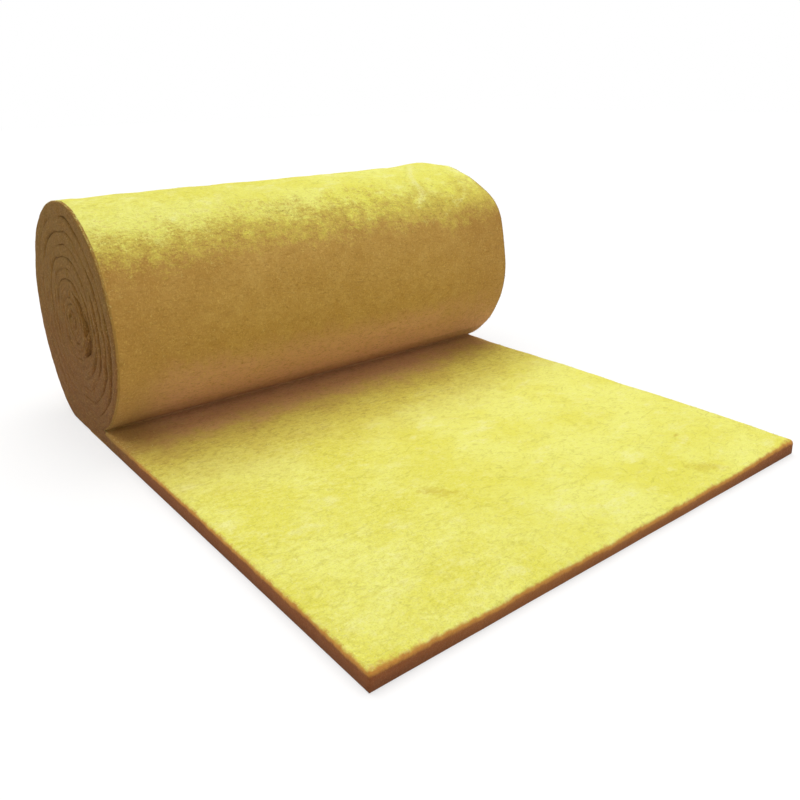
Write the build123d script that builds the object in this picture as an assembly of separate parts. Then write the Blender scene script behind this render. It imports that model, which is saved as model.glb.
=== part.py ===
from build123d import *
from dataclasses import dataclass
from math import atan2, cos, degrees, pi, radians, sin, sqrt
import os

# Glass wool blanket, part unrolled: one continuous piece, wound into a roll that lies on its side, with its
# free end laid out flat in front. Millimetres. X runs across the width, the laid end points to -Y, +Z is up,
# and the origin is on the floor at the middle of the footprint.

# Driving dimensions
width = 1200.0              # across the blanket, the length of the roll
thickness = 40.0            # of the laid blanket
laid_length = 1200.0        # from below the roll's axis to the cut end
wound_radius = 304.0        # of the outermost turn, before the roll settles
settle = 27.0               # how far the roll's own weight flattens its underside
settle_corner = 60.0        # radius where the flattened underside turns up into the round
core_radius = 36.0          # of the innermost turn, where the winding began
core_thickness = 17.0       # of the blanket there, where it is wound tightest
core_hollow_width = 20.0    # crescent left open where the innermost turn has pulled away
core_hollow_angle = 55.0    # half the angle that the crescent takes, about the core
seam_gap = 5.0              # open seam between two turns, where it shows on an end
seam_depth = 16.0           # how far the seam can be seen into the end
end_edge_radius = 6.0       # softness of the cut edges round both ends
laid_edge_radius = 9.0      # softness of the laid end's upper and lower edge

touching = 0.01             # a point or edge this near to a cut face lies on it

# Places that follow from them
axis_y = (laid_length - wound_radius) / 2
cut_end_y = axis_y - laid_length
straight_up = degrees(pi / 2)


@dataclass
class HalfTurn:
    """Half a turn of the winding line, from the floor side to the top, behind the axis or in front of it."""
    side: int               # 1 behind the roll's axis, -1 in front of it
    radius: float
    height: float           # of its centre
    rest: float             # height of the flat that its lower end settles to
    corner: float           # radius between that flat and the round

    def corner_centre(self):
        run = self.radius - self.corner
        drop = self.height - self.rest - self.corner
        return axis_y + self.side * sqrt(run**2 - drop**2), self.rest + self.corner

    def corner_angle(self):
        """Direction, from the half turn's centre, in which the corner becomes the round."""
        y, z = self.corner_centre()
        return degrees(atan2(z - self.height, self.side * (y - axis_y)))

    def point(self, angle):
        """A point of the round, at an angle above the horizontal on its own side."""
        y = axis_y + self.side * self.radius * cos(radians(angle))
        return y, self.height + self.radius * sin(radians(angle))

    def arc(self, centre, radius, low, high):
        """An arc between two angles above the horizontal on the half turn's own side."""
        start = low if self.side > 0 else 2 * straight_up - high
        return CenterArc(centre, radius, start, high - low)

    def round_edge(self, grow=0.0, lowest=None):
        """The round from its lowest angle up to the top, moved outwards by grow."""
        low = self.corner_angle() if lowest is None else lowest
        return self.arc((axis_y, self.height), self.radius + grow, low, straight_up)

    def corner_edge(self, grow=0.0):
        """The corner below the round."""
        return self.arc(self.corner_centre(), self.corner + grow, -straight_up, self.corner_angle())


def turn_thickness(radius):
    """Thickness of the wound blanket at a radius: the winding gets tighter towards the core."""
    outward = (radius - core_radius) / (wound_radius - core_radius)
    return core_thickness + (thickness - core_thickness) * outward


def wind():
    """The half turns from the outside inwards, each half a thickness smaller than the one before."""
    side = 1
    radius = wound_radius
    height = wound_radius - settle
    turns = [HalfTurn(side, radius, height, 0.0, settle_corner)]
    while side > 0 or radius > core_radius:
        side = -side
        step = turn_thickness(radius) / 2
        radius -= step
        height -= side * step
        if side < 0:
            share = radius / (wound_radius - thickness / 2)
            rest = height - radius + settle * share**2
        turns.append(HalfTurn(side, radius, height, rest, settle_corner * share))
    return turns


def flat_edge(front, back, grow=0.0):
    """The settled flat between the lower ends of two half turns."""
    level = back.rest - grow
    return Line((front.corner_centre()[0], level), (back.corner_centre()[0], level))


def crease_point(turns):
    """Where the outermost turn comes down on the laid blanket."""
    outer = turns[1]
    return axis_y - sqrt(outer.radius**2 - (outer.height - thickness)**2), thickness


def outline(turns):
    """The side view: laid blanket, settled underside and the outermost turn."""
    back, front = turns[0], turns[1]
    crease = crease_point(turns)
    crease_angle = degrees(atan2(crease[1] - front.height, axis_y - crease[0]))
    underside = Line((cut_end_y, 0), (back.corner_centre()[0], 0))
    laid_top = Line(crease, (cut_end_y, thickness))
    cut_end = Line((cut_end_y, thickness), (cut_end_y, 0))
    rounds = [back.corner_edge(), back.round_edge(), front.round_edge(lowest=crease_angle)]
    side_view = make_face([underside, *rounds, laid_top, cut_end])
    corners = side_view.vertices().filter_by(lambda corner: abs(corner.X - cut_end_y) < touching)
    return fillet(corners, laid_edge_radius)


def seam_side(turns, grow):
    """One side of the seam, from the crease inwards to the core, moved outwards by grow."""
    crease = crease_point(turns)
    mouth = (crease[0] - seam_gap / 2, crease[1] - grow)
    first = turns[2]
    edges = [Line(mouth, (first.corner_centre()[0], first.rest - grow))]
    for inner in turns[2:]:
        edges.append(inner.round_edge(grow))
        if inner.side > 0:
            edges.append(inner.corner_edge(grow))
        elif inner is not turns[-1]:
            edges.append(inner.corner_edge(grow))
            edges.append(flat_edge(inner, turns[turns.index(inner) + 1], grow))
    return edges


def seam(turns):
    """The open seam between the turns, as it shows on an end of the roll."""
    outside = seam_side(turns, seam_gap / 2)
    inside = seam_side(turns, -seam_gap / 2)
    mouth = Line(outside[0] @ 0, inside[0] @ 0)
    core = Line(outside[-1] @ 1, inside[-1] @ 1)
    return make_face([*outside, core, *inside, mouth])


def core_hollow(turns):
    """The crescent inside the innermost turn that the winding left open."""
    inner = turns[-1]
    low = inner.point(-core_hollow_angle)
    high = inner.point(core_hollow_angle)
    outside = inner.point(0)
    inside = (outside[0] + core_hollow_width, outside[1])
    return make_face([ThreePointArc(low, outside, high), ThreePointArc(high, inside, low)])


def across(face, length):
    """A side view face made solid across the blanket, centred on its width."""
    return extrude(Plane.YZ * face, length / 2, both=True)


def blanket():
    turns = wind()
    body = across(outline(turns), width)
    ends = body.edges().filter_by(lambda edge: abs(abs(edge.center().X) - width / 2) < touching)
    body = fillet(ends, end_edge_radius)
    seam_face = seam(turns)
    for side in (-1, 1):
        end_plane = Plane.YZ.offset(side * width / 2)
        body -= extrude(end_plane * seam_face, -side * seam_depth)
    return body - across(core_hollow(turns), width)


os.makedirs("parts", exist_ok=True)
part = blanket()
part.label = "glass_wool_blanket"
export_step(part, "parts/glass_wool_blanket.step")
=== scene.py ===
import bpy
import math
import random
from functools import partial
from mathutils import Euler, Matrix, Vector, noise


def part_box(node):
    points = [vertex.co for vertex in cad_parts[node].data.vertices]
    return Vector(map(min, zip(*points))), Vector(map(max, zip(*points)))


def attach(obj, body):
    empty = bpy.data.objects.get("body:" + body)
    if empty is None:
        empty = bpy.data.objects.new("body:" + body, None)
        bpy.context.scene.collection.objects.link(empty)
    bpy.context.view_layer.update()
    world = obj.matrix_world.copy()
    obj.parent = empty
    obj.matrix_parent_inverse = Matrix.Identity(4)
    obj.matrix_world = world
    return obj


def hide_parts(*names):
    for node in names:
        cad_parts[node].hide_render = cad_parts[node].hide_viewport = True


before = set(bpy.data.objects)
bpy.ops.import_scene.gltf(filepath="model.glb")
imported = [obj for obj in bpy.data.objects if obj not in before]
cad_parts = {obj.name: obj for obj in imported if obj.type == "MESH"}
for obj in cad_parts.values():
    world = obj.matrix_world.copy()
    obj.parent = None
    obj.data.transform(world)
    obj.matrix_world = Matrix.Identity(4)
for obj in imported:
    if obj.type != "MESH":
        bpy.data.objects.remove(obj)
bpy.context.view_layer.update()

# Glass wool blanket, part unrolled. Metres, in the row frame: X across the width, -Y to the cut end, +Z up.
# The roll lies at +Y, and its near end, which the camera sees, is at -X.

NODE = "glass_wool_blanket"
low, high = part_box(NODE)
HALF_WIDTH = (high[0] - low[0]) / 2
CUT_END_Y = low[1]
WOUND_RADIUS = 0.304
AXIS_Y = high[1] - WOUND_RADIUS
THICKNESS = 0.040
SETTLE = 2 * WOUND_RADIUS - high[2]
SETTLE_CORNER = 0.060
CORE_RADIUS = 0.036
CORE_THICKNESS = 0.017

# Soft edges
END_EDGE = 0.006             # rims round both ends
CUT_ROUND = 0.012            # the cut end's upper edge
LOW_EDGE = 0.0025            # the laid blanket's lower edges
WRAP = 0.004                 # how far the skin reaches down the laid blanket's side edges
CUT_WRAP = 0.005             # and down the middle of its cut end
CUT_WRAP_LEAST = 0.002
CUT_SAG = 0.008              # how much thinner it gets there, towards the cut end
SAG_REACH = 0.11             # how far from the cut end the sag begins
SIDE_SHARE = 0.4             # how much of the sag and the wrap is left at the two sides
SIDE_REACH = 0.28            # how far from the sides they are whole

# Core: a crescent left open, bent round the innermost turn
HOLLOW_HALF_WIDTH = 0.008
HOLLOW_HALF_HEIGHT = 0.024
HOLLOW_PLACE = (0.011, -0.002)   # its centre, from the line of the innermost turn
HOLLOW_BEND = 0.35           # share of its half width
HOLLOW_LIP = 0.012           # how deep the wool draws in at its edge
HOLLOW_LIP_REACH = 0.004
CORE_FOLD = 0.004
CORE_FOLD_SIZE = 0.018

# Mesh density
HALF_TURN_STEPS = 92
LAID_STEPS = 112
COLUMNS = 124
RIM_COLUMNS = (0.0015, 0.0045, 0.010)   # the skin's first columns, measured from the rim
CORE_RINGS = 6
HOLLOW_COLUMNS = 8
ACROSS = (0, 0.02, 0.06, 0.13, 0.27, 0.5, 0.73, 0.87, 0.94, 0.98, 1)
CREASE_STEPS = 12            # under the roll, from the crease to below its axis
LAID_END = CREASE_STEPS + LAID_STEPS
INMOST = len(ACROSS) - 1

# Marks that the material reads
IN_FACE = 0.03               # distance past the rim, for all that is well inside a cut face
IN_SKIN = -0.03
RIM_PACE = 2.5               # how fast that distance grows inside the roll's rims
# The hollow's wall is marked this deep so that it takes the full painted shade.
HOLLOW_DEPTH = 0.05
CORE_GRAIN = 0.02            # how closely the fine layers lie round the core
CORE_SLICE = 30.0            # slices of the layers' noise, well apart from those of the turns
HOLLOW_SLICE = 40.0
SKIN_SLICE = 50.0


# The winding line

class HalfTurn:
    """Half a turn of the winding line, behind the axis (side 1) or in front of it (side -1)."""

    def __init__(self, side, radius, height, rest, corner):
        self.side = side
        self.radius = radius
        self.height = height
        self.rest = rest
        self.corner = corner

    def path(self, steps):
        """Points and outward normals from below the axis, round the corner, up to the top."""
        run = self.radius - self.corner
        drop = self.height - self.rest - self.corner
        reach = math.sqrt(run**2 - drop**2)
        turn = math.atan2(self.rest + self.corner - self.height, reach)
        arcs = [reach, self.corner * (turn + math.pi / 2), self.radius * (math.pi / 2 - turn)]
        points = []
        for step in range(steps + 1):
            way = sum(arcs) * step / steps
            if way <= arcs[0]:
                angle = -math.pi / 2
                y, z = way, self.rest
            elif way <= arcs[0] + arcs[1]:
                angle = -math.pi / 2 + (way - arcs[0]) / self.corner
                y = reach + self.corner * math.cos(angle)
                z = self.rest + self.corner + self.corner * math.sin(angle)
            else:
                angle = turn + (way - arcs[0] - arcs[1]) / self.radius
                y = self.radius * math.cos(angle)
                z = self.height + self.radius * math.sin(angle)
            normal = (self.side * math.cos(angle), math.sin(angle))
            points.append(((AXIS_Y + self.side * y, z), normal))
        return points


def turn_thickness(radius):
    """Thickness of the wound blanket at a radius: the winding gets tighter towards the core."""
    outward = (radius - CORE_RADIUS) / (WOUND_RADIUS - CORE_RADIUS)
    return CORE_THICKNESS + (THICKNESS - CORE_THICKNESS) * outward


def wind():
    """The half turns from the outside inwards."""
    side = 1
    radius = WOUND_RADIUS
    height = WOUND_RADIUS - SETTLE
    turns = [HalfTurn(side, radius, height, 0.0, SETTLE_CORNER)]
    while side > 0 or radius > CORE_RADIUS:
        side = -side
        step = turn_thickness(radius) / 2
        radius -= step
        height -= side * step
        if side < 0:
            share = radius / (WOUND_RADIUS - THICKNESS / 2)
            rest = height - radius + SETTLE * share**2
        turns.append(HalfTurn(side, radius, height, rest, SETTLE_CORNER * share))
    return turns


def crease_y(turns):
    """Where the outermost turn comes down on the laid blanket."""
    outer = turns[1]
    return AXIS_Y - math.sqrt(outer.radius**2 - (outer.height - THICKNESS)**2)


def outer_front_path(outer, crease):
    """The outermost turn in front: from below the axis, along the laid blanket to the crease, and up."""
    points = []
    for step in range(CREASE_STEPS):
        y = AXIS_Y + (crease - AXIS_Y) * step / CREASE_STEPS
        points.append(((y, THICKNESS), (0.0, -1.0)))
    start = math.atan2(THICKNESS - outer.height, AXIS_Y - crease)
    rises = HALF_TURN_STEPS - CREASE_STEPS
    for step in range(rises + 1):
        angle = start + (math.pi / 2 - start) * step / rises
        y = AXIS_Y - outer.radius * math.cos(angle)
        z = outer.height + outer.radius * math.sin(angle)
        points.append(((y, z), (-math.cos(angle), math.sin(angle))))
    return points


# Unevenness of the felt

# Layers of noise: the height of each, the size of its lumps, and what is added to x, y and z so that no two
# layers follow each other
SKIN_RELIEF = (
    (0.0030, 0.210, (0.0, 0.0, 7.0)),
    (0.0020, 0.070, (3.0, 0.0, 0.0)),
    (0.0010, 0.030, (0.0, 5.0, 0.0)),
)
SEAM_STRAY = (
    (0.0100, 0.110, (0.0, 0.0, 3.0)),
    (0.0040, 0.040, (9.0, 0.0, 0.0)),
)
END_RELIEF = (
    (0.0030, 0.075, (0.0, 0.0, 0.0)),
    (0.0016, 0.022, (0.0, 0.0, 0.0)),
)
# The cut end's layers: height, size of the lumps, place in the noise, and how far into it the end rises
CUT_END_RELIEF = (
    (0.0016, 0.110, 2.0, 0.03),
    (0.0008, 0.035, 4.0, 0.04),
)
STRAY_RADIUS = 0.16          # inside this the seams stray less and less
END_CROWN = 0.0010           # how far an end face bulges between two seams
SIDE_RELIEF = 0.0022         # unevenness of the laid blanket's side edges
SIDE_LUMPS = 0.05
LAID_RELIEF = 0.6            # how uneven the laid blanket is, as a share of the roll
LAID_REACH = 0.05            # how far from the crease it is as uneven as that
RISE = (0.002, 0.06)         # heights above its rest between which a turn gets uneven

# Creases in the roll's skin, in front: points of x in metres and degrees above the horizontal, half width
# and height. A height below zero sinks in.
CREASES = (
    (((0.441, 86), (0.381, 71), (0.364, 62), (0.367, 54), (0.350, 49), (0.314, 43)), 0.012, 0.0048),
    (((0.364, 60), (0.345, 63), (0.315, 66)), 0.007, 0.0026),
    (((0.546, 68), (0.526, 59), (0.520, 51), (0.489, 45), (0.456, 41), (0.434, 38)), 0.012, 0.0024),
    (((0.400, 52), (0.440, 47.5), (0.485, 46)), 0.006, 0.0020),
    (((0.410, 47.5), (0.450, 44.5), (0.490, 43)), 0.006, 0.0018),
    (((0.430, 40), (0.390, 35), (0.345, 33), (0.300, 34)), 0.009, 0.0016),
    (((-0.140, 68), (-0.150, 63), (-0.159, 59)), 0.013, 0.0026),
    (((-0.080, 60), (-0.071, 54)), 0.010, 0.0028),
    (((-0.158, 53), (-0.126, 55), (-0.095, 53), (-0.072, 49), (-0.066, 46)), 0.007, -0.0036),
    (((-0.065, 62), (-0.035, 62), (-0.013, 60)), 0.006, -0.0032),
    (((0.060, 55), (0.110, 51), (0.170, 50), (0.220, 53)), 0.008, -0.0025),
    (((0.398, 61), (0.431, 55)), 0.006, -0.0026),
    (((0.434, 51.4), (0.504, 49.6)), 0.006, -0.0026),
    (((0.323, 45), (0.370, 43), (0.421, 42.4)), 0.008, -0.0028),
)
CREASE_REACH = 0.12          # past this, across the width, a crease isn't felt
CREASE_ENDS = (-0.01, 0.02)  # distances from its two ends between which it grows
# A crease's full colour is painted highlight on a ridge or painted shade in a fold.
CREASE_FULL = 0.004          # height at which a crease shows its full colour

# Where the far end of the roll bulges or sinks in front: x, angle, their reach, and how far
BULGES = (
    (0.62, 35.0, 0.16, 15.0, 0.017),
    (0.62, 78.0, 0.10, 24.0, -0.009),
    (0.40, 84.0, 0.16, 22.0, 0.004),
    (0.51, 92.0, 0.06, 20.0, 0.010),
)


def smooth(value, start, end):
    share = min(1.0, max(0.0, (value - start) / (end - start)))
    return share * share * (3 - 2 * share)


def waves(x, y, z, size):
    """Smooth noise from about -1 to 1, with lumps of the given size."""
    return noise.noise(Vector((x, y, z)) / size)


def layered_waves(x, y, z, layers):
    total = 0.0
    for height, size, (dx, dy, dz) in layers:
        total += height * waves(x + dx, y + dy, z + dz, size)
    return total


def segment_distance(point, start, end):
    along = end - start
    share = min(1.0, max(0.0, (point - start).dot(along) / along.length_squared))
    return (point - start - along * share).length


def crease_lift(x, angle):
    """How far the creases lift or sink the roll's skin at a place."""
    arc = WOUND_RADIUS / math.degrees(1.0)
    here = Vector((x, angle * arc))
    lift = 0.0
    for points, reach, height in CREASES:
        if min(abs(x - px) for px, _ in points) > CREASE_REACH:
            continue
        places = [Vector((px, pa * arc)) for px, pa in points]
        near = min(segment_distance(here, a, b) for a, b in zip(places, places[1:]))
        ends = min((here - places[0]).length, (here - places[-1]).length)
        lift += height * math.exp(-(near / reach)**2) * smooth(ends, *CREASE_ENDS)
    return lift


def bulge(x, angle):
    total = 0.0
    for at_x, at_angle, reach_x, reach_angle, height in BULGES:
        total += height * math.exp(-((x - at_x) / reach_x)**2 - ((angle - at_angle) / reach_angle)**2)
    return total


def seam_wobble(x, y, z, radius):
    """How far an inner seam strays from its even spiral."""
    return layered_waves(x, y, z, SEAM_STRAY) * min(1.0, radius / STRAY_RADIUS)


def mid_width(x):
    """1 in the middle of the width, falling off towards the two sides."""
    return SIDE_SHARE + (1 - SIDE_SHARE) * smooth(HALF_WIDTH - abs(x), 0.0, SIDE_REACH)


# Seams on the ends

SEAM_SHUT = (0.0006, 0.0005)     # half width and depth of a seam where it is felted shut
SEAM_DRIFT = (0.0007, 0.0034)    # and what they gain where it drifts open
DRIFT = (-0.1, 0.55)         # values of the noise between which it does
DRIFT_PACE = 1.3             # how often that changes round the roll
PATCH_PACE = 5               # and how often the depth does, which is patchier
PATCH_SWING = 1.3
FELTED = 0.75                # how far every other seam of the near end is shut, low on the roll
FELTED_ANGLES = (5, 35)      # degrees below the horizontal between which that sets in
STRETCH_FADE = (14, 6)       # degrees outside and inside a stretch's ends, over which it opens
LIP = 0.5                    # height of a seam's soft lips and their reach, in half widths
LIP_REACH = 4

# Stretches where a seam stands open on the near end: the half turn, the angles above the horizontal that
# the stretch runs between, the half width and the depth
NEAR_OPEN = (
    (3, -34, 4, 0.0030, 0.030),
    (3, 62, 80, 0.0018, 0.010),
    (5, -38, 38, 0.0020, 0.018),
    (4, 45, 70, 0.0016, 0.008),
    (7, -30, 20, 0.0016, 0.014),
    (9, -40, 15, 0.0018, 0.016),
    (11, -30, 30, 0.0020, 0.018),
    (13, -42, 10, 0.0050, 0.040),
    (15, -10, 45, 0.0045, 0.035),
)


def noise_round(place, angle, pace):
    """Noise that comes back to its start once round the roll."""
    return noise.noise(Vector((place, math.cos(angle) * pace, math.sin(angle) * pace)))


def seam_opening(side, index, angle):
    """Half width and depth of a seam at an angle above the horizontal, in degrees."""
    place = index * 3.7 + side * 11.0   # far enough apart that no two seams drift alike
    around = math.radians(angle)
    part = smooth(noise_round(place, around, DRIFT_PACE), *DRIFT)
    felted = FELTED * smooth(-angle, *FELTED_ANGLES) if side < 0 and index % 2 == 0 else 0.0
    patchy = 1 + PATCH_SWING * noise_round(place + 50, around, PATCH_PACE)
    width = (SEAM_SHUT[0] + SEAM_DRIFT[0] * part) * (1 - 0.5 * felted)
    depth = (SEAM_SHUT[1] + SEAM_DRIFT[1] * part) * (1 - felted) * patchy
    stretches = NEAR_OPEN if side < 0 else ()
    outside, within = STRETCH_FADE
    for half_turn, start, end, wide, deep in stretches:
        if half_turn == index:
            begun = smooth(angle, start - outside, start + within)
            inside = begun * (1 - smooth(angle, end - within, end + outside))
            width += (wide - width) * inside
            depth += (deep - depth) * inside
    return width, depth


def groove(distance, width, depth):
    """Depth of the end face beside a seam, with soft lips."""
    near = distance / width
    return depth * math.exp(-near**1.3) + LIP * width * math.exp(-near / LIP_REACH)


def rim_round(distance, radius=END_EDGE):
    """How far a cut face draws back beside a rounded rim."""
    left = max(0.0, radius - distance)
    return radius - math.sqrt(radius**2 - left**2)


# Mesh of the blanket

class Build:
    """Vertices, faces and the marks that the material reads."""

    def __init__(self):
        self.places = []
        self.cut = []
        self.crease = []
        self.grain = []
        self.groove = []
        self.faces = []
        self.known = {}

    def add(self, place, cut, grain=(0.0, 0.0, 0.0), deep=0.0, crease=0.0):
        self.places.append(place)
        self.cut.append(cut)
        self.crease.append(crease)
        self.grain.append(grain)
        self.groove.append(deep)
        return len(self.places) - 1

    def once(self, key, maker):
        """The vertex of a key, made the first time that it is asked for."""
        if key not in self.known:
            self.known[key] = self.add(*maker())
        return self.known[key]

    def quad(self, a, b, c, d, flip):
        """A face of four corners, or of three where two of them are the same vertex."""
        ring = [a, b, c, d]
        ring = [v for i, v in enumerate(ring) if v != ring[i - 1]]
        if len(ring) > 2:
            self.faces.append(tuple(reversed(ring)) if flip else tuple(ring))

    def join(self, rings, flip):
        """Faces between each closed ring of vertices and the next."""
        for here, ahead in zip(rings, rings[1:]):
            for at in range(len(here)):
                after = (at + 1) % len(here)
                self.quad(here[at], here[after], ahead[after], ahead[at], flip)


def key_of(side, point):
    return side, round(point[0], 6), round(point[1], 6)


class Blanket:
    """The blanket's mesh: two ends with their turns, the skin between them, and the core's hollow."""

    def __init__(self):
        self.turns = wind()
        self.crease = crease_y(self.turns)
        self.build = Build()
        self.curves = []
        for index, turn in enumerate(self.turns):
            if index == 1:
                self.curves.append(outer_front_path(turn, self.crease))
            else:
                self.curves.append(turn.path(HALF_TURN_STEPS))

    def moved(self, index, step, x):
        """A point of a curve with the felt's unevenness at a place across the width."""
        (y, z), (ny, nz) = self.curves[index][step]
        turn = self.turns[index]
        rise = smooth(z, turn.rest + RISE[0], turn.rest + RISE[1])
        if index < 2:
            shift = layered_waves(x, y, z, SKIN_RELIEF)
            if index == 1:
                angle = self.angle_of(index, step)
                shift += crease_lift(x, angle) + bulge(x, angle)
            else:
                shift += bulge(x, 180 - self.angle_of(index, step))
            shift *= rise
        else:
            shift = rise * seam_wobble(x, y, z, turn.radius)
        return y + ny * shift, z + nz * shift

    def laid_line(self, step, share):
        """Y of a station of the laid blanket, from below the roll's axis to the cut end's rounded face."""
        if step <= CREASE_STEPS:
            return AXIS_Y + (self.crease - AXIS_Y) * step / CREASE_STEPS
        face = rim_round(THICKNESS * (1 - share), CUT_ROUND) + rim_round(THICKNESS * share, LOW_EDGE)
        return self.crease + (CUT_END_Y + face - self.crease) * (step - CREASE_STEPS) / LAID_STEPS

    def laid_top(self, y, x):
        """Height of the laid blanket, which sags towards its cut end."""
        free = smooth(self.crease - y, 0.0, LAID_REACH)
        sag = CUT_SAG * mid_width(x) * (1 - smooth(y - CUT_END_Y, 0.0, SAG_REACH))
        return THICKNESS - sag + free * LAID_RELIEF * layered_waves(x, y, THICKNESS, SKIN_RELIEF)

    def cut_end_bulge(self, x, across):
        """The cut end isn't quite straight across the width, and is softest at its two edges."""
        if not 0 < across < 1:
            return 0.0
        uneven = 0.0
        for height, size, place, rise in CUT_END_RELIEF:
            uneven += height * waves(x, place, across * rise, size)
        return uneven * math.sin(math.pi * across)**0.5

    def angle_of(self, index, step):
        """Degrees above the horizontal at which a curve faces outwards."""
        normal = self.curves[index][step][1]
        return math.degrees(math.asin(max(-1.0, min(1.0, normal[1]))))

    def seam_groove(self, side, index, step, distance):
        """How far a seam draws the end face in, at a distance from it."""
        return groove(distance, *seam_opening(side, index, self.angle_of(index, step)))

    def end_vertex(self, side, index, step, across_at):
        """A vertex of an end face, between a half turn's line and the next one inside it."""
        outer, inner = self.curves[index], self.curves[index + 2]
        share = ACROSS[across_at]
        (oy, oz), (iy, iz) = outer[step][0], inner[step][0]
        base = (oy + (iy - oy) * share, oz + (iz - oz) * share)

        def make():
            x = side * HALF_WIDTH
            ay, az = self.moved(index, step, x)
            by, bz = self.moved(index + 2, step, x)
            thick = math.hypot(by - ay, bz - az)
            on_rim = index == 0 or index == 1 and step >= CREASE_STEPS
            recess = self.seam_groove(side, index + 2, step, thick * (1 - share))
            if on_rim:
                recess += rim_round(thick * share)
            else:
                recess += self.seam_groove(side, index, step, thick * share)
            y, z = ay + (by - ay) * share, az + (bz - az) * share
            uneven = layered_waves(x + index, y, z, END_RELIEF)
            crown = math.sin(math.pi * share) * (END_CROWN + uneven)
            way = step / HALF_TURN_STEPS * self.turns[index].radius * math.pi
            cut = RIM_PACE * thick * share if on_rim else IN_FACE
            place = (side * (HALF_WIDTH - recess + crown), y, z)
            return place, cut, (way, thick * share, index), recess - min(0.0, crown)

        return self.build.once(key_of(side, base), make)

    def laid_vertex(self, side, step, across_at):
        """A vertex of the laid blanket's side edge."""
        share = ACROSS[across_at]
        y = self.laid_line(step, share)

        def make():
            x = side * HALF_WIDTH
            top = self.laid_top(y, x)
            z = top * share
            inside = step <= CREASE_STEPS
            from_top = top - z
            recess = rim_round(z, LOW_EDGE)
            if inside:
                recess += groove(from_top, *seam_opening(side, 1, -90))
            else:
                recess += rim_round(from_top)
            crown = math.sin(math.pi * share) * SIDE_RELIEF * waves(x, y, z, SIDE_LUMPS)
            cut = z if inside else from_top - WRAP
            place = (side * (HALF_WIDTH - recess + crown), y, z)
            return place, cut, (y, z, 0.0), recess if inside else 0.0

        return self.build.once(key_of(side, (y, THICKNESS * share)), make)

    def make_strip(self, vertex, steps, flip):
        """Faces of an end along one stretch of the blanket, from its outer line to its inner one."""
        for step in range(steps):
            for at in range(INMOST):
                corners = ((step, at), (step + 1, at), (step + 1, at + 1), (step, at + 1))
                self.build.quad(*[vertex(*corner) for corner in corners], flip)

    def make_end(self, side):
        """An end face. Returns the rim of the core's hollow."""
        flip = side > 0
        for index in range(len(self.turns) - 2):
            back = self.turns[index].side > 0
            self.make_strip(partial(self.end_vertex, side, index), HALF_TURN_STEPS, flip != back)
        self.make_strip(partial(self.laid_vertex, side), LAID_END, flip)
        return self.make_core(side, flip)

    def make_core(self, side, flip):
        """The wool inside the innermost turn, round the hollow. Returns the hollow's rim."""
        last = len(self.turns) - 1
        rim = [self.end_vertex(side, last - 3, step, INMOST) for step in range(HALF_TURN_STEPS + 1)]
        rim += [self.end_vertex(side, last - 2, step, INMOST) for step in reversed(range(HALF_TURN_STEPS))]
        rim += [self.end_vertex(side, last - 2, 0, at) for at in range(INMOST - 1, 0, -1)]
        turn = self.turns[last]
        centre = (AXIS_Y - turn.radius + HOLLOW_PLACE[0], turn.height + HOLLOW_PLACE[1])
        rings = [rim]
        for level in range(1, CORE_RINGS + 1):
            rings.append([self.core_vertex(side, vertex, centre, level / CORE_RINGS) for vertex in rim])
        self.build.join(rings, not flip)
        return rings[-1]

    def core_vertex(self, side, vertex, centre, share):
        """A vertex between one of the core's rim and the edge of the hollow."""
        start = self.build.places[vertex]
        angle = math.atan2(start[2] - centre[1], start[1] - centre[0])
        bend = HOLLOW_BEND * HOLLOW_HALF_WIDTH * math.sin(angle)**2
        hy = centre[0] + HOLLOW_HALF_WIDTH * math.cos(angle) + bend
        hz = centre[1] + HOLLOW_HALF_HEIGHT * math.sin(angle)
        y = start[1] + (hy - start[1]) * share
        z = start[2] + (hz - start[2]) * share
        gap = math.hypot(hy - y, hz - z)
        seam_in = (HALF_WIDTH - abs(start[0])) * (1 - share)**3
        folds = CORE_FOLD * (1 - share) * share * 4 * (0.5 + waves(side, y, z, CORE_FOLD_SIZE))
        recess = max(0.0, seam_in + folds + HOLLOW_LIP * math.exp(-gap / HOLLOW_LIP_REACH))
        place = (side * (HALF_WIDTH - recess), y, z)
        return self.build.add(place, IN_FACE, (angle * CORE_GRAIN, share * CORE_GRAIN, CORE_SLICE), recess)

    def outline(self):
        """The side view's outline as stations: the vertex of each end, and a maker of those between."""
        stations = []
        for step in range(HALF_TURN_STEPS):
            stations.append(self.curve_station(0, step))
        for step in range(HALF_TURN_STEPS, CREASE_STEPS, -1):
            stations.append(self.curve_station(1, step))
        for step in range(CREASE_STEPS, LAID_END):
            stations.append(self.laid_station(step, INMOST))
        for at in range(INMOST, 0, -1):
            stations.append(self.laid_station(LAID_END, at))
        for step in range(LAID_END, 0, -1):
            stations.append(self.laid_station(step, 0))
        return stations

    def curve_station(self, index, step):
        ends = [self.end_vertex(side, index, step, 0) for side in (-1, 1)]

        def between(x):
            y, z = self.moved(index, step, x)
            crease = crease_lift(x, self.angle_of(index, step)) if index == 1 else 0.0
            return (x, y, z), -(HALF_WIDTH - abs(x)), crease / CREASE_FULL

        return ends, between

    def laid_station(self, step, across_at):
        ends = [self.laid_vertex(side, step, across_at) for side in (-1, 1)]
        share = ACROSS[across_at]

        def between(x):
            y = self.laid_line(step, share)
            top = self.laid_top(y, x)
            z = top * share
            wrap = CUT_WRAP * mid_width(x) + CUT_WRAP_LEAST
            if step == LAID_END:
                y += self.cut_end_bulge(x, share)
                return (x, y, z), top - z - wrap, 0.0
            to_cut = y - CUT_END_Y - CUT_ROUND + wrap
            cut = -min(HALF_WIDTH - abs(x) + WRAP, to_cut) if share else IN_SKIN
            return (x, y, z), cut, 0.0

        return ends, between

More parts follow.
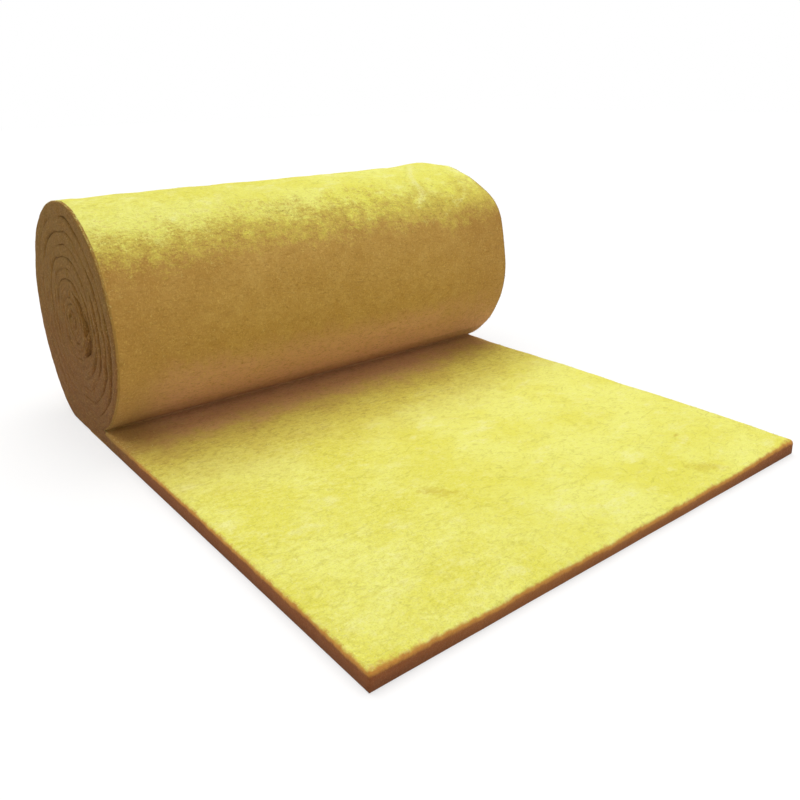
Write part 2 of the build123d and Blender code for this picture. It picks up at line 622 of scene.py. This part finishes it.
    def make_skin(self):
        """The skin all round, as rows of vertices from end to end."""
        inner_half = HALF_WIDTH - END_EDGE
        edges = [inner_half - offset for offset in RIM_COLUMNS]
        middle = COLUMNS - 2 * len(edges)
        columns = [-x for x in edges]
        columns += [edges[-1] * (2 * column / middle - 1) for column in range(1, middle)]
        columns += edges[::-1]
        rows = []
        for ends, between in self.outline():
            row = [ends[0]]
            for x in columns:
                place, cut, crease = between(x)
                row.append(self.build.add(place, cut, (x, place[2], SKIN_SLICE), crease=crease))
            row.append(ends[1])
            rows.append(row)
        for here, ahead in zip(rows, rows[1:] + rows[:1]):
            for column in range(COLUMNS):
                self.build.quad(here[column], here[column + 1], ahead[column + 1], ahead[column], True)

    def make_hollow(self, near, far):
        """The hollow's wall, from its rim on one end to the other."""
        rings = [near]
        for column in range(1, HOLLOW_COLUMNS):
            share = column / HOLLOW_COLUMNS
            ring = []
            for a, b in zip(near, far):
                place = Vector(self.build.places[a]).lerp(Vector(self.build.places[b]), share)
                ring.append(self.build.add(tuple(place), IN_FACE, (share, 0.0, HOLLOW_SLICE), HOLLOW_DEPTH))
            rings.append(ring)
        self.build.join(rings + [far], True)

    def make(self):
        near = self.make_end(-1)
        far = self.make_end(1)
        self.make_skin()
        self.make_hollow(near, far)
        return self.build


# Loose fibres on the skin and along the rims

FIBRES = 7200
FIBRE_PARTS = 4
FIBRE_SIDES = 3
FIBRE_RADIUS = 0.00025
FIBRE_TIP = 0.35             # radius of the tapered ends, as a share
FIBRE_LENGTHS = (0.006, 0.024)
FIBRE_BEND = 1.2             # most that one turns along its length, in radians
FIBRE_ARCHES = (0.0001, 0.0005)
FIBRE_SINK = 0.0003          # how deep their two ends lie in the skin
FIBRE_INSET = 0.001          # how far they stay inside the two ends
LAID_SPARSE = 0.35           # share of the fibres that the laid blanket goes without
RIM_FIBRES = 0.16            # share of the fibres that lie along the rims
RIM_SIDES = (-1.6, 1)        # there are more along the near rim, below zero, than along the far one
RIM_BAND = (0.004, 0.010)    # how far from the rim those lie
CUT_MARGIN = 0.004           # no fibre starts this near to the cut end
FRONT_ANGLE = 2.6            # of the roll's front, from the crease to the top, in radians
ROLLED_ANGLE = 4.9           # how far over the roll the fibres lie
# The fibres take the crease ridges' colour: partly their own paleness, partly painted highlight that makes
# up for their shaded sides.
FIBRE_PALE_AND_HIGHLIGHT = (0.55, 0.60)    # strength of their colour on upright skin, and its gain on level skin


class Fibres(Build):
    """Short, thin, bent strands that lie on the skin, flat side up. Their tapered ends are capped."""

    def __init__(self, blanket):
        super().__init__()
        self.blanket = blanket
        self.sheet = blanket.crease - CUT_END_Y
        self.random = random.Random(11)

    def surface(self, x, way):
        """A place on the skin and its normal. Way runs from the cut end, over the roll, down its back."""
        blanket = self.blanket
        if way < self.sheet:
            y = CUT_END_Y + way
            return Vector((x, y, blanket.laid_top(y, x))), Vector((0.0, 0.0, 1.0))
        up = (way - self.sheet) / WOUND_RADIUS
        front = HALF_TURN_STEPS - CREASE_STEPS
        steps = up / FRONT_ANGLE * front
        if steps < front:
            index, step = 1, CREASE_STEPS + int(steps)
        else:
            index, step = 0, max(0, HALF_TURN_STEPS - int(steps - front))
        y, z = blanket.moved(index, step, x)
        ny, nz = blanket.curves[index][step][1]
        return Vector((x, y, z)), Vector((0.0, ny, nz))

    def place_one(self):
        """One fibre at random, unless it falls on the laid blanket's share that goes without."""
        pick = self.random
        way = pick.uniform(CUT_MARGIN, self.sheet + ROLLED_ANGLE * WOUND_RADIUS)
        if way < self.sheet and pick.random() < LAID_SPARSE:
            return
        if pick.random() < RIM_FIBRES:
            x = math.copysign(HALF_WIDTH - pick.uniform(*RIM_BAND), pick.uniform(*RIM_SIDES))
        else:
            x = pick.uniform(-1, 1) * (HALF_WIDTH - RIM_BAND[1])
        here, normal = self.surface(x, way)
        across = Vector((1.0, 0.0, 0.0))
        along = normal.cross(across)
        heading = pick.uniform(0, 2 * math.pi)
        bend = pick.uniform(-FIBRE_BEND, FIBRE_BEND)
        length = pick.uniform(*FIBRE_LENGTHS)
        height = pick.uniform(*FIBRE_ARCHES)
        least, gain = FIBRE_PALE_AND_HIGHLIGHT
        points = []
        for part in range(FIBRE_PARTS + 1):
            share = part / FIBRE_PARTS
            points.append(here + normal * (math.sin(math.pi * share) * height - FIBRE_SINK))
            turn = heading + bend * share
            here = here + (across * math.cos(turn) + along * math.sin(turn)) * (length / FIBRE_PARTS)
            here.x = max(-HALF_WIDTH + FIBRE_INSET, min(HALF_WIDTH - FIBRE_INSET, here.x))
            here.y = max(CUT_END_Y, here.y)
        self.strand(points, normal, least + gain * max(0.0, normal.z))

    def strand(self, points, normal, pale_and_highlight):
        rings = []
        for part, point in enumerate(points):
            taper = FIBRE_TIP + (1 - FIBRE_TIP) * math.sin(math.pi * part / FIBRE_PARTS)
            ahead = points[min(part + 1, FIBRE_PARTS)] - points[max(part - 1, 0)]
            side = ahead.cross(normal).normalized()
            ring = []
            for corner in range(FIBRE_SIDES):
                angle = math.pi / 6 + 2 * math.pi * corner / FIBRE_SIDES
                out = side * math.cos(angle) + normal * math.sin(angle)
                # The crease mark gives the strand its pale colour, partly painted highlight.
                ring.append(self.add(tuple(point + out * (FIBRE_RADIUS * taper)), IN_SKIN, crease=pale_and_highlight))
            rings.append(ring)
        self.join(rings, True)
        self.faces.append(tuple(rings[0]))
        self.faces.append(tuple(reversed(rings[-1])))

    def make(self):
        for _ in range(FIBRES):
            self.place_one()
        return self


def mesh_object(name, build, smoothed=True):
    mesh = bpy.data.meshes.new(name)
    mesh.from_pydata(build.places, [], build.faces)
    for label, values in (("cut", build.cut), ("groove", build.groove), ("crease", build.crease)):
        layer = mesh.attributes.new(label, "FLOAT", "POINT")
        layer.data.foreach_set("value", values)
    layer = mesh.attributes.new("grain", "FLOAT_VECTOR", "POINT")
    layer.data.foreach_set("vector", [part for grain in build.grain for part in grain])
    if smoothed:
        mesh.shade_smooth()
    else:
        mesh.shade_flat()
    mesh.update()
    piece = bpy.data.objects.new(name, mesh)
    bpy.context.scene.collection.objects.link(piece)
    return piece


# Nodes of a material or of the world

def linear(red, green, blue):
    """A colour given in the usual 0 to 255 steps, as light values."""
    def one(step):
        share = step / 255
        return share / 12.92 if share <= 0.04045 else ((share + 0.055) / 1.055)**2.4
    return one(red), one(green), one(blue)


class Nodes:
    """A small helper to write nodes line by line."""

    def __init__(self, owner):
        owner.use_nodes = True
        self.tree = owner.node_tree
        self.tree.nodes.clear()

    def node(self, kind, inputs=None, **settings):
        """A node whose inputs are filled with plain values or with the outputs of other nodes."""
        made = self.tree.nodes.new(kind)
        for name, value in settings.items():
            setattr(made, name, value)
        for key, value in (inputs or {}).items():
            if isinstance(value, bpy.types.NodeSocket):
                self.tree.links.new(value, made.inputs[key])
            else:
                made.inputs[key].default_value = value
        return made

    def attribute(self, name, output="Fac"):
        return self.node("ShaderNodeAttribute", attribute_name=name).outputs[output]

    def scaled(self, source, scale):
        return self.node("ShaderNodeMapping", {"Vector": source, "Scale": scale}).outputs["Vector"]

    def noise(self, source, scale, detail, rough, distortion):
        inputs = {"Vector": source, "Scale": scale, "Detail": detail, "Roughness": rough}
        inputs["Distortion"] = distortion
        return self.node("ShaderNodeTexNoise", inputs).outputs["Fac"]

    def spread(self, value, start, end, low=0.0, high=1.0):
        """A soft step: low where the value is at its start or short of it, high at its end and past it."""
        inputs = {"Value": value, "From Min": start, "From Max": end, "To Min": low, "To Max": high}
        return self.node("ShaderNodeMapRange", inputs, interpolation_type="SMOOTHSTEP").outputs["Result"]

    def math(self, operation, *values):
        return self.node("ShaderNodeMath", dict(enumerate(values)), operation=operation).outputs[0]

    def plus(self, total, *others):
        for other in others:
            total = self.math("ADD", total, other)
        return total

    def times(self, product, *others):
        for other in others:
            product = self.math("MULTIPLY", product, other)
        return product

    def mix(self, share, first, second):
        """A mix of two colours, each the output of a node or a triple of 0 to 255 steps."""
        inputs = {0: share}
        for socket, colour in ((6, first), (7, second)):
            inputs[socket] = (*linear(*colour), 1.0) if isinstance(colour, tuple) else colour
        return self.node("ShaderNodeMix", inputs, data_type="RGBA").outputs[2]

    def mix_shaders(self, share, first, second):
        return self.node("ShaderNodeMixShader", {0: share, 1: first, 2: second}).outputs[0]

    def seen(self):
        """1 where the camera sees a surface, also mirrored or through glass, and 0 for other light."""
        rays = self.node("ShaderNodeLightPath").outputs
        seen = rays["Is Camera Ray"]
        for kind in ("Is Glossy Ray", "Is Transmission Ray"):
            seen = self.math("MAXIMUM", seen, rays[kind])
        return seen


# Glass wool

# Patterns: what the place is scaled by along X, Y and Z, and the noise's scale, detail, roughness and
# distortion
EVEN = (1.0, 1.0, 1.0)
PATTERNS = {
    "patches": (EVEN, 5.5, 6.0, 0.62, 0.0),
    "pale": ((1.0, 1.5, 1.2), 15.0, 7.0, 0.70, 0.0),
    "veins": ((1.0, 1.5, 1.2), 15.0, 3.0, 0.55, 0.5),
    "mottle": (EVEN, 18.0, 6.0, 0.70, 0.0),
    "clumps": (EVEN, 30.0, 6.0, 0.65, 0.0),
    "tufts": ((1.0, 1.4, 1.4), 42.0, 5.0, 0.70, 0.5),
    "matting": (EVEN, 48.0, 5.0, 0.65, 0.0),
    "frays": (EVEN, 60.0, 4.0, 0.65, 0.0),
    "strokes": ((1.0, 1.6, 1.3), 62.0, 5.0, 0.75, 0.4),
    "grit": (EVEN, 210.0, 3.0, 0.70, 0.0),
    "specks": (EVEN, 330.0, 2.0, 0.60, 0.0),
    "along": ((90.0, 320.0, 200.0), 1.0, 4.0, 0.75, 0.8),
    "crossing": ((300.0, 90.0, 170.0), 1.0, 4.0, 0.75, 0.8),
}
GRAIN = ((22.0, 300.0, 1.0), 1.0, 5.0, 0.70, 0.6)   # the same for the fine layers that follow the turns

# Colours in 0 to 255 steps. The first four are the two shades that a pattern mixes.
# Of the next three, lemon is the skin's own colour on top; the flank's golden brown is painted shade, and
# olive is painted half shade between them.
LEMON = ((241, 236, 98), (248, 247, 130))
FLANK_SHADE = ((186, 143, 68), (197, 156, 80))
OLIVE_HALF_SHADE = ((220, 202, 86), (192, 166, 68))
# The cut faces' brown: the wool's own colour, made darker still as painted shade.
FACE = ((106, 66, 25), (140, 93, 37))
VEIN = (200, 190, 62)
STAIN = (212, 190, 56)
# Painted shade low on the roll's front, under its bulge.
LOW_FRONT_SHADE = (226, 172, 114)  # the roll's skin low in front
# Painted shade on the skin close to the crease.
CREASE_SHADE = (228, 170, 130)  # skin close to the crease
# Painted highlight on the crease ridges, and painted shade in their folds.
RIDGE_HIGHLIGHT = (248, 244, 160)
FOLD_SHADE = (158, 128, 50)
# The laid blanket's cut end: its own redder brown, made darker still as painted shade.
LAID_FACE = (144, 78, 43)
BORDER = (164, 124, 60)      # between the skin and a cut face
LAID_BORDER = (206, 144, 64)

# Layers over them: the guide that each follows, where on it the layer begins and where it is full, how
# strong it is there, and its colour
LEMON_LAYERS = (
    ("pale", 0.52, 0.70, 0.55, (252, 250, 176)),
    ("strokes", 0.52, 0.68, 0.36, (214, 204, 72)),
    ("along", 0.53, 0.66, 0.40, (212, 202, 82)),
    ("crossing", 0.54, 0.68, 0.40, (255, 253, 190)),
    ("grit", 0.54, 0.70, 0.20, (218, 210, 84)),
)
COARSE_LAYERS = (
    ("tufts", 0.50, 0.64, 1.0, (222, 212, 74)),
    ("specks", 0.52, 0.66, 1.0, (200, 190, 70)),
    ("strokes", 0.50, 0.38, 1.0, (254, 252, 172)),
)
FLANK_LAYERS = (
    ("strokes", 0.50, 0.66, 0.45, (168, 125, 56)),
    ("along", 0.52, 0.64, 0.50, (150, 108, 44)),
    ("crossing", 0.52, 0.64, 0.40, (222, 186, 98)),
    ("grit", 0.46, 0.32, 0.35, (224, 188, 104)),
)
FLANK_ENDS = (
    ("aside", 0.25, 0.60, 0.50, (172, 124, 60)),
)
OLIVE_LAYERS = (
    ("along", 0.54, 0.68, 0.50, (166, 140, 54)),
    ("crossing", 0.54, 0.68, 0.50, (240, 230, 124)),
)
FACE_LAYERS = (
    ("clumps", 0.40, 0.68, 0.60, (124, 92, 36)),
    ("strokes", 0.50, 0.66, 0.60, (94, 58, 25)),
    ("grit", 0.46, 0.32, 0.70, (168, 125, 58)),
    ("up", 0.16, 0.50, 0.35, (130, 100, 38)),
    ("up", 0.34, 0.10, 0.30, (124, 72, 42)),
    ("specks", 0.60, 0.70, 0.60, (206, 166, 104)),
    ("specks", 0.40, 0.30, 0.50, (88, 54, 28)),
    # Painted shade deep in the seams, round the core and in its hollow.
    ("groove", 0.005, 0.026, 0.62, (84, 50, 28)),
)
LAID_FACE_LAYERS = (
    ("aside", 0.58, 0.25, 0.45, (188, 122, 62)),
    ("up", 0.024, 0.006, 0.45, (104, 60, 36)),
)

# Golden smears on the laid blanket: x, y, half length, half width, turn in degrees and strength
STAINS = (
    (-0.185, -0.420, 0.050, 0.018, -57.0, 0.55),
    (0.326, -0.699, 0.045, 0.016, -30.0, 0.45),
    (0.413, -0.571, 0.010, 0.006, 10.0, 0.80),
)


class Wool(Nodes):
    """Lemon skin on top, golden brown painted shade on the flanks, olive painted half shade between the
    two, and brown on the cut faces, partly painted shade.
    """

    def __init__(self, crease):
        self.material = bpy.data.materials.new("glass_wool")
        super().__init__(self.material)
        self.place = self.node("ShaderNodeTexCoord").outputs["Object"]
        self.across, behind, self.up = self.node("ShaderNodeSeparateXYZ", {0: self.place}).outputs
        aside = self.math("ABSOLUTE", self.across)
        self.guides = {"up": self.up, "aside": aside, "groove": self.attribute("groove")}
        for name, (scale, *settings) in PATTERNS.items():
            self.guides[name] = self.noise(self.scaled(self.place, scale), *settings)
        self.find_regions(self.math("SUBTRACT", crease, behind))
        self.finish(self.cut_edges(self.creases(self.skin())), self.relief())

    def swings(self, **heights):
        """Patterns added up, each as a swing of its height to both sides of zero."""
        parts = []
        for name, height in heights.items():
            parts.append(self.times(self.math("SUBTRACT", self.guides[name], 0.5), height))
        return self.plus(*parts)

    def shades(self, pattern, start, end, colours):
        return self.mix(self.spread(pattern, start, end), *colours)

    def layered(self, colour, layers, share=None):
        """A colour with layers over it, weakened by a share where one is given."""
        for guide, start, full, strength, over in layers:
            cover = self.spread(self.guides[guide], start, full, 0.0, strength)
            if share:
                cover = self.times(cover, share)
            colour = self.mix(cover, colour, over)
        return colour

    def find_regions(self, ahead):
        """Regions of the blanket, by how far a point is ahead of the crease, how high and where across."""
        # Height on the roll, from -1 to 1, which sets the painted shade down the flanks. All that is as low
        # as the laid blanket counts as the top.
        half = WOUND_RADIUS - THICKNESS / 2
        height = self.math("DIVIDE", self.math("SUBTRACT", self.up, WOUND_RADIUS), half)
        self.round_up = self.math("MAXIMUM", height, self.spread(self.up, 0.06, 0.10, 1.0, -1.0))
        # How far the crease's painted shade has faded: more and more away from the crease, and up the roll
        laid = self.plus(ahead, self.swings(mottle=0.25))
        clear = self.plus(laid, self.spread(self.across, 0.20, 0.60, 0.0, 0.06))
        risen = self.plus(self.up, self.swings(mottle=0.10))
        self.clear_of_crease_shade = self.math("MAXIMUM", self.spread(clear, 0.0, 0.62), self.spread(risen, 0.08, 0.50))
        self.in_front = self.spread(laid, -0.10, -0.02)
        # The cut faces of the laid blanket, clear of the roll
        self.flat = self.times(self.spread(self.up, 0.040, 0.046, 1.0, 0.0), self.spread(laid, 0.02, 0.30))

    def lemon(self):
        """The skin on top: two shades in patches, paler spots, dark veins between them, fine strokes."""
        colour = self.layered(self.shades(self.guides["patches"], 0.38, 0.62, LEMON), LEMON_LAYERS)
        coarser = self.spread(self.across, 0.10, -0.35, 0.0, 0.30)
        colour = self.layered(colour, COARSE_LAYERS, coarser)
        line = self.math("ABSOLUTE", self.math("SUBTRACT", self.guides["veins"], 0.5))
        between = self.spread(self.guides["pale"], 0.56, 0.44)
        veined = self.times(self.spread(line, 0.0, 0.030, 0.34, 0.0), between)
        colour = self.mix(veined, colour, VEIN)
        for stain in STAINS:
            colour = self.mix(self.stain(*stain), colour, STAIN)
        return colour

    def stain(self, x, y, length, width, turn, strength):
        """How much of a smear shows: an ellipse with a blurred edge."""
        oval = {
            "Vector": self.place,
            "Location": (x, y, THICKNESS),
            "Rotation": (0.0, 0.0, math.radians(turn)),
            "Scale": (length, width, THICKNESS),
        }
        spot = self.node("ShaderNodeMapping", oval, vector_type="TEXTURE").outputs["Vector"]
        away = self.node("ShaderNodeVectorMath", {0: spot}, operation="LENGTH").outputs["Value"]
        blurred = self.plus(away, self.swings(tufts=-3.0, strokes=-2.0))
        return self.spread(blurred, 1.5, 0.0, 0.0, strength)

    def flank(self):
        """The skin on the flanks in painted shade, with warmer painted shade low in front and close to the
        crease.
        """
        colour = self.layered(self.shades(self.guides["mottle"], 0.36, 0.68, FLANK_SHADE), FLANK_ENDS)
        # Painted shade low in front, inside the crease, though not at the near end.
        down = self.spread(self.round_up, -0.35, -0.80, 0.0, 0.85)
        low_front_shade = self.times(down, self.in_front, self.spread(self.across, -0.58, -0.36))
        colour = self.mix(low_front_shade, colour, LOW_FRONT_SHADE)
        # Painted shade close to the crease, fading towards both open ends.
        crease_shade_share = self.times(self.spread(self.clear_of_crease_shade, 0.35, 0.0, 0.0, 0.7), self.in_front)
        far = self.spread(self.across, 0.25, 0.60, 1.0, 0.6)
        near = self.spread(self.across, -0.57, -0.43, 0.1, 1.0)
        colour = self.mix(self.times(crease_shade_share, far, near), colour, CREASE_SHADE)
        return self.layered(colour, FLANK_LAYERS)

    def skin(self):
        """Painted shade and light: the shaded flank, the half-shaded olive and the lit lemon from the floor
        upwards, in tufts, and in lobes towards the far end; near the crease its painted shade keeps flank
        and olive.
        """
        tufted = self.swings(tufts=0.36, strokes=0.48, crossing=0.25, along=-0.30, grit=-0.20)
        tufted = self.times(tufted, self.spread(self.across, 0.15, 0.45, 1.0, 0.6))
        lobes = self.times(self.swings(mottle=1.0), self.spread(self.across, -0.35, 0.10, 0.30, 0.60))
        near = self.spread(self.across, -0.45, -0.20, 0.0, -0.045)
        far = self.spread(self.across, 0.45, 0.58, 0.0, -0.055)
        upper = self.plus(self.round_up, tufted, lobes, near, far)
        lower = self.plus(upper, self.spread(self.across, 0.15, 0.50, 0.0, 0.08))
        olive = self.layered(self.shades(self.guides["strokes"], 0.46, 0.66, OLIVE_HALF_SHADE), OLIVE_LAYERS)
        to_olive = self.times(self.spread(lower, 0.42, 0.74), self.spread(self.clear_of_crease_shade, 0.0, 0.45))
        to_lemon = self.times(self.spread(upper, 0.61, 0.85), self.spread(self.clear_of_crease_shade, 0.3, 1.0))
        return self.mix(to_lemon, self.mix(to_olive, self.flank(), olive), self.lemon())

    def creases(self, skin):
        """Painted highlight on raised ridges and painted shade in sunk folds, with frayed edges."""
        mark = self.attribute("crease")
        frayed = self.plus(mark, self.swings(strokes=3.0, crossing=1.8, along=-1.8))
        ridge_highlight = self.times(self.spread(frayed, 0.35, 1.5, 0.0, 0.75), self.spread(mark, 0.05, 0.4))
        fold_shade = self.times(self.spread(frayed, -0.3, -1.4, 0.0, 0.7), self.spread(mark, -0.05, -0.4))
        return self.mix(fold_shade, self.mix(ridge_highlight, skin, RIDGE_HIGHLIGHT), FOLD_SHADE)

    def face(self):
        """Brown wool in fine layers that follow the turns, redder on the laid blanket's cut end, with
        painted shade in the seams and the hollow.
        """
        scale, *settings = GRAIN
        grain = self.noise(self.scaled(self.attribute("grain", "Vector"), scale), *settings)
        colour = self.layered(self.shades(grain, 0.34, 0.66, FACE), FACE_LAYERS)
        colour = self.mix(self.times(self.flat, 0.7), colour, LAID_FACE)
        return self.layered(colour, LAID_FACE_LAYERS, self.flat)

    def cut_edges(self, skin):
        """The skin and the cut faces, with a ragged border between them."""
        edge = self.plus(self.attribute("cut"), self.swings(frays=0.010, crossing=0.003))
        border = self.mix(self.flat, BORDER, LAID_BORDER)
        rim = self.mix(self.spread(edge, -0.0050, 0.0010), skin, border)
        return self.mix(self.spread(edge, 0.0010, 0.0085), rim, self.face())

    def relief(self):
        """Matted fibres."""
        strands = [self.times(self.guides[name], 0.8) for name in ("along", "crossing")]
        matted = self.plus(*strands, self.times(self.guides["matting"], 1.4))
        bump = {"Strength": 0.8, "Distance": 0.005, "Height": matted}
        return self.node("ShaderNodeBump", bump).outputs["Normal"]

    def finish(self, colour, normal):
        shader = self.node("ShaderNodeBsdfPrincipled", {
            "Base Color": colour,
            "Normal": normal,
            "Roughness": 0.95,
            "Specular IOR Level": 0.10,
            "Sheen Weight": 0.08,
            "Sheen Roughness": 0.6,
            "Sheen Tint": (1.0, 0.94, 0.6, 1.0),
        })
        self.node("ShaderNodeOutputMaterial", {"Surface": shader.outputs[0]})


# Surroundings

FLOOR_SIZE = 40.0
FLOOR_DROP = 0.0005          # keeps the floor just clear of the blanket's underside
FLOOR_COLOUR = (0.93, 0.93, 0.93, 1.0)
FLOOR_WHITE = 0.6            # share of plain white in what the camera sees of it
WHITE = {"Color": (1.0, 1.0, 1.0, 1.0), "Strength": 1.0}
WORLD_LIGHT = {"Color": (1.0, 0.98, 0.95, 1.0), "Strength": 0.52}
# Lamps: name, power, how wide the light spreads in degrees, and the direction in which it travels
LAMPS = (
    ("key", 2.12, 60, (-0.04, -0.20, -1.0)),
    ("fill", 0.45, 80, (-0.10, 1.00, -0.24)),
)
LAMP_HEIGHT = 3.0

# The photograph's viewpoint, from a fit to the blanket's corners, edges and outlines
FRAME_PX = 800
FOCAL_PX = 799.66
CENTRE_PX = (397.69, 342.42)
CAMERA_PLACE = (-1.12914, AXIS_Y - 1.96114, 0.81568)
CAMERA_TURN = (1.26243, 0.01829, -0.66711)
SENSOR_WIDTH = 36.0


def make_floor():
    bpy.ops.mesh.primitive_plane_add(size=FLOOR_SIZE, location=(0, 0, -FLOOR_DROP))
    floor = bpy.context.object
    floor.name = "floor"
    material = bpy.data.materials.new("pale_floor")
    n = Nodes(material)
    shade = n.node("ShaderNodeBsdfDiffuse", {"Color": FLOOR_COLOUR}).outputs[0]
    white = n.node("ShaderNodeEmission", WHITE).outputs[0]
    surface = n.mix_shaders(n.times(n.seen(), FLOOR_WHITE), shade, white)
    n.node("ShaderNodeOutputMaterial", {"Surface": surface})
    floor.data.materials.append(material)


def make_world():
    world = bpy.data.worlds.new("studio")
    bpy.context.scene.world = world
    n = Nodes(world)
    light = n.node("ShaderNodeBackground", WORLD_LIGHT).outputs[0]
    white = n.node("ShaderNodeBackground", WHITE).outputs[0]
    n.node("ShaderNodeOutputWorld", {"Surface": n.mix_shaders(n.seen(), light, white)})


def soft_light(name, power, spread, direction):
    """A broad, even light that comes from far away, travelling in a direction."""
    data = bpy.data.lights.new(name, "SUN")
    data.energy = power
    data.angle = math.radians(spread)
    lamp = bpy.data.objects.new(name, data)
    lamp.location = (0.0, 0.0, LAMP_HEIGHT)
    lamp.rotation_euler = Vector(direction).to_track_quat("-Z", "Y").to_euler()
    bpy.context.scene.collection.objects.link(lamp)


def make_camera():
    data = bpy.data.cameras.new("camera")
    data.sensor_width = SENSOR_WIDTH
    data.lens = FOCAL_PX / FRAME_PX * SENSOR_WIDTH
    data.shift_x = (FRAME_PX / 2 - CENTRE_PX[0]) / FRAME_PX
    data.shift_y = (CENTRE_PX[1] - FRAME_PX / 2) / FRAME_PX
    camera = bpy.data.objects.new("camera", data)
    camera.location = CAMERA_PLACE
    camera.rotation_euler = Euler(CAMERA_TURN)
    bpy.context.scene.collection.objects.link(camera)
    bpy.context.scene.camera = camera


shape = Blanket()
wool = Wool(shape.crease).material
blanket = mesh_object("wool_blanket", shape.make())
blanket.data.materials.append(wool)
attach(blanket, "root")
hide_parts(NODE)

fibres = mesh_object("loose_fibres", Fibres(shape).make(), smoothed=False)
fibres.data.materials.append(wool)
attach(fibres, "root")
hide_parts(NODE)

make_camera()
make_floor()
make_world()
for lamp in LAMPS:
    soft_light(*lamp)
bpy.context.scene.view_settings.view_transform = "Standard"
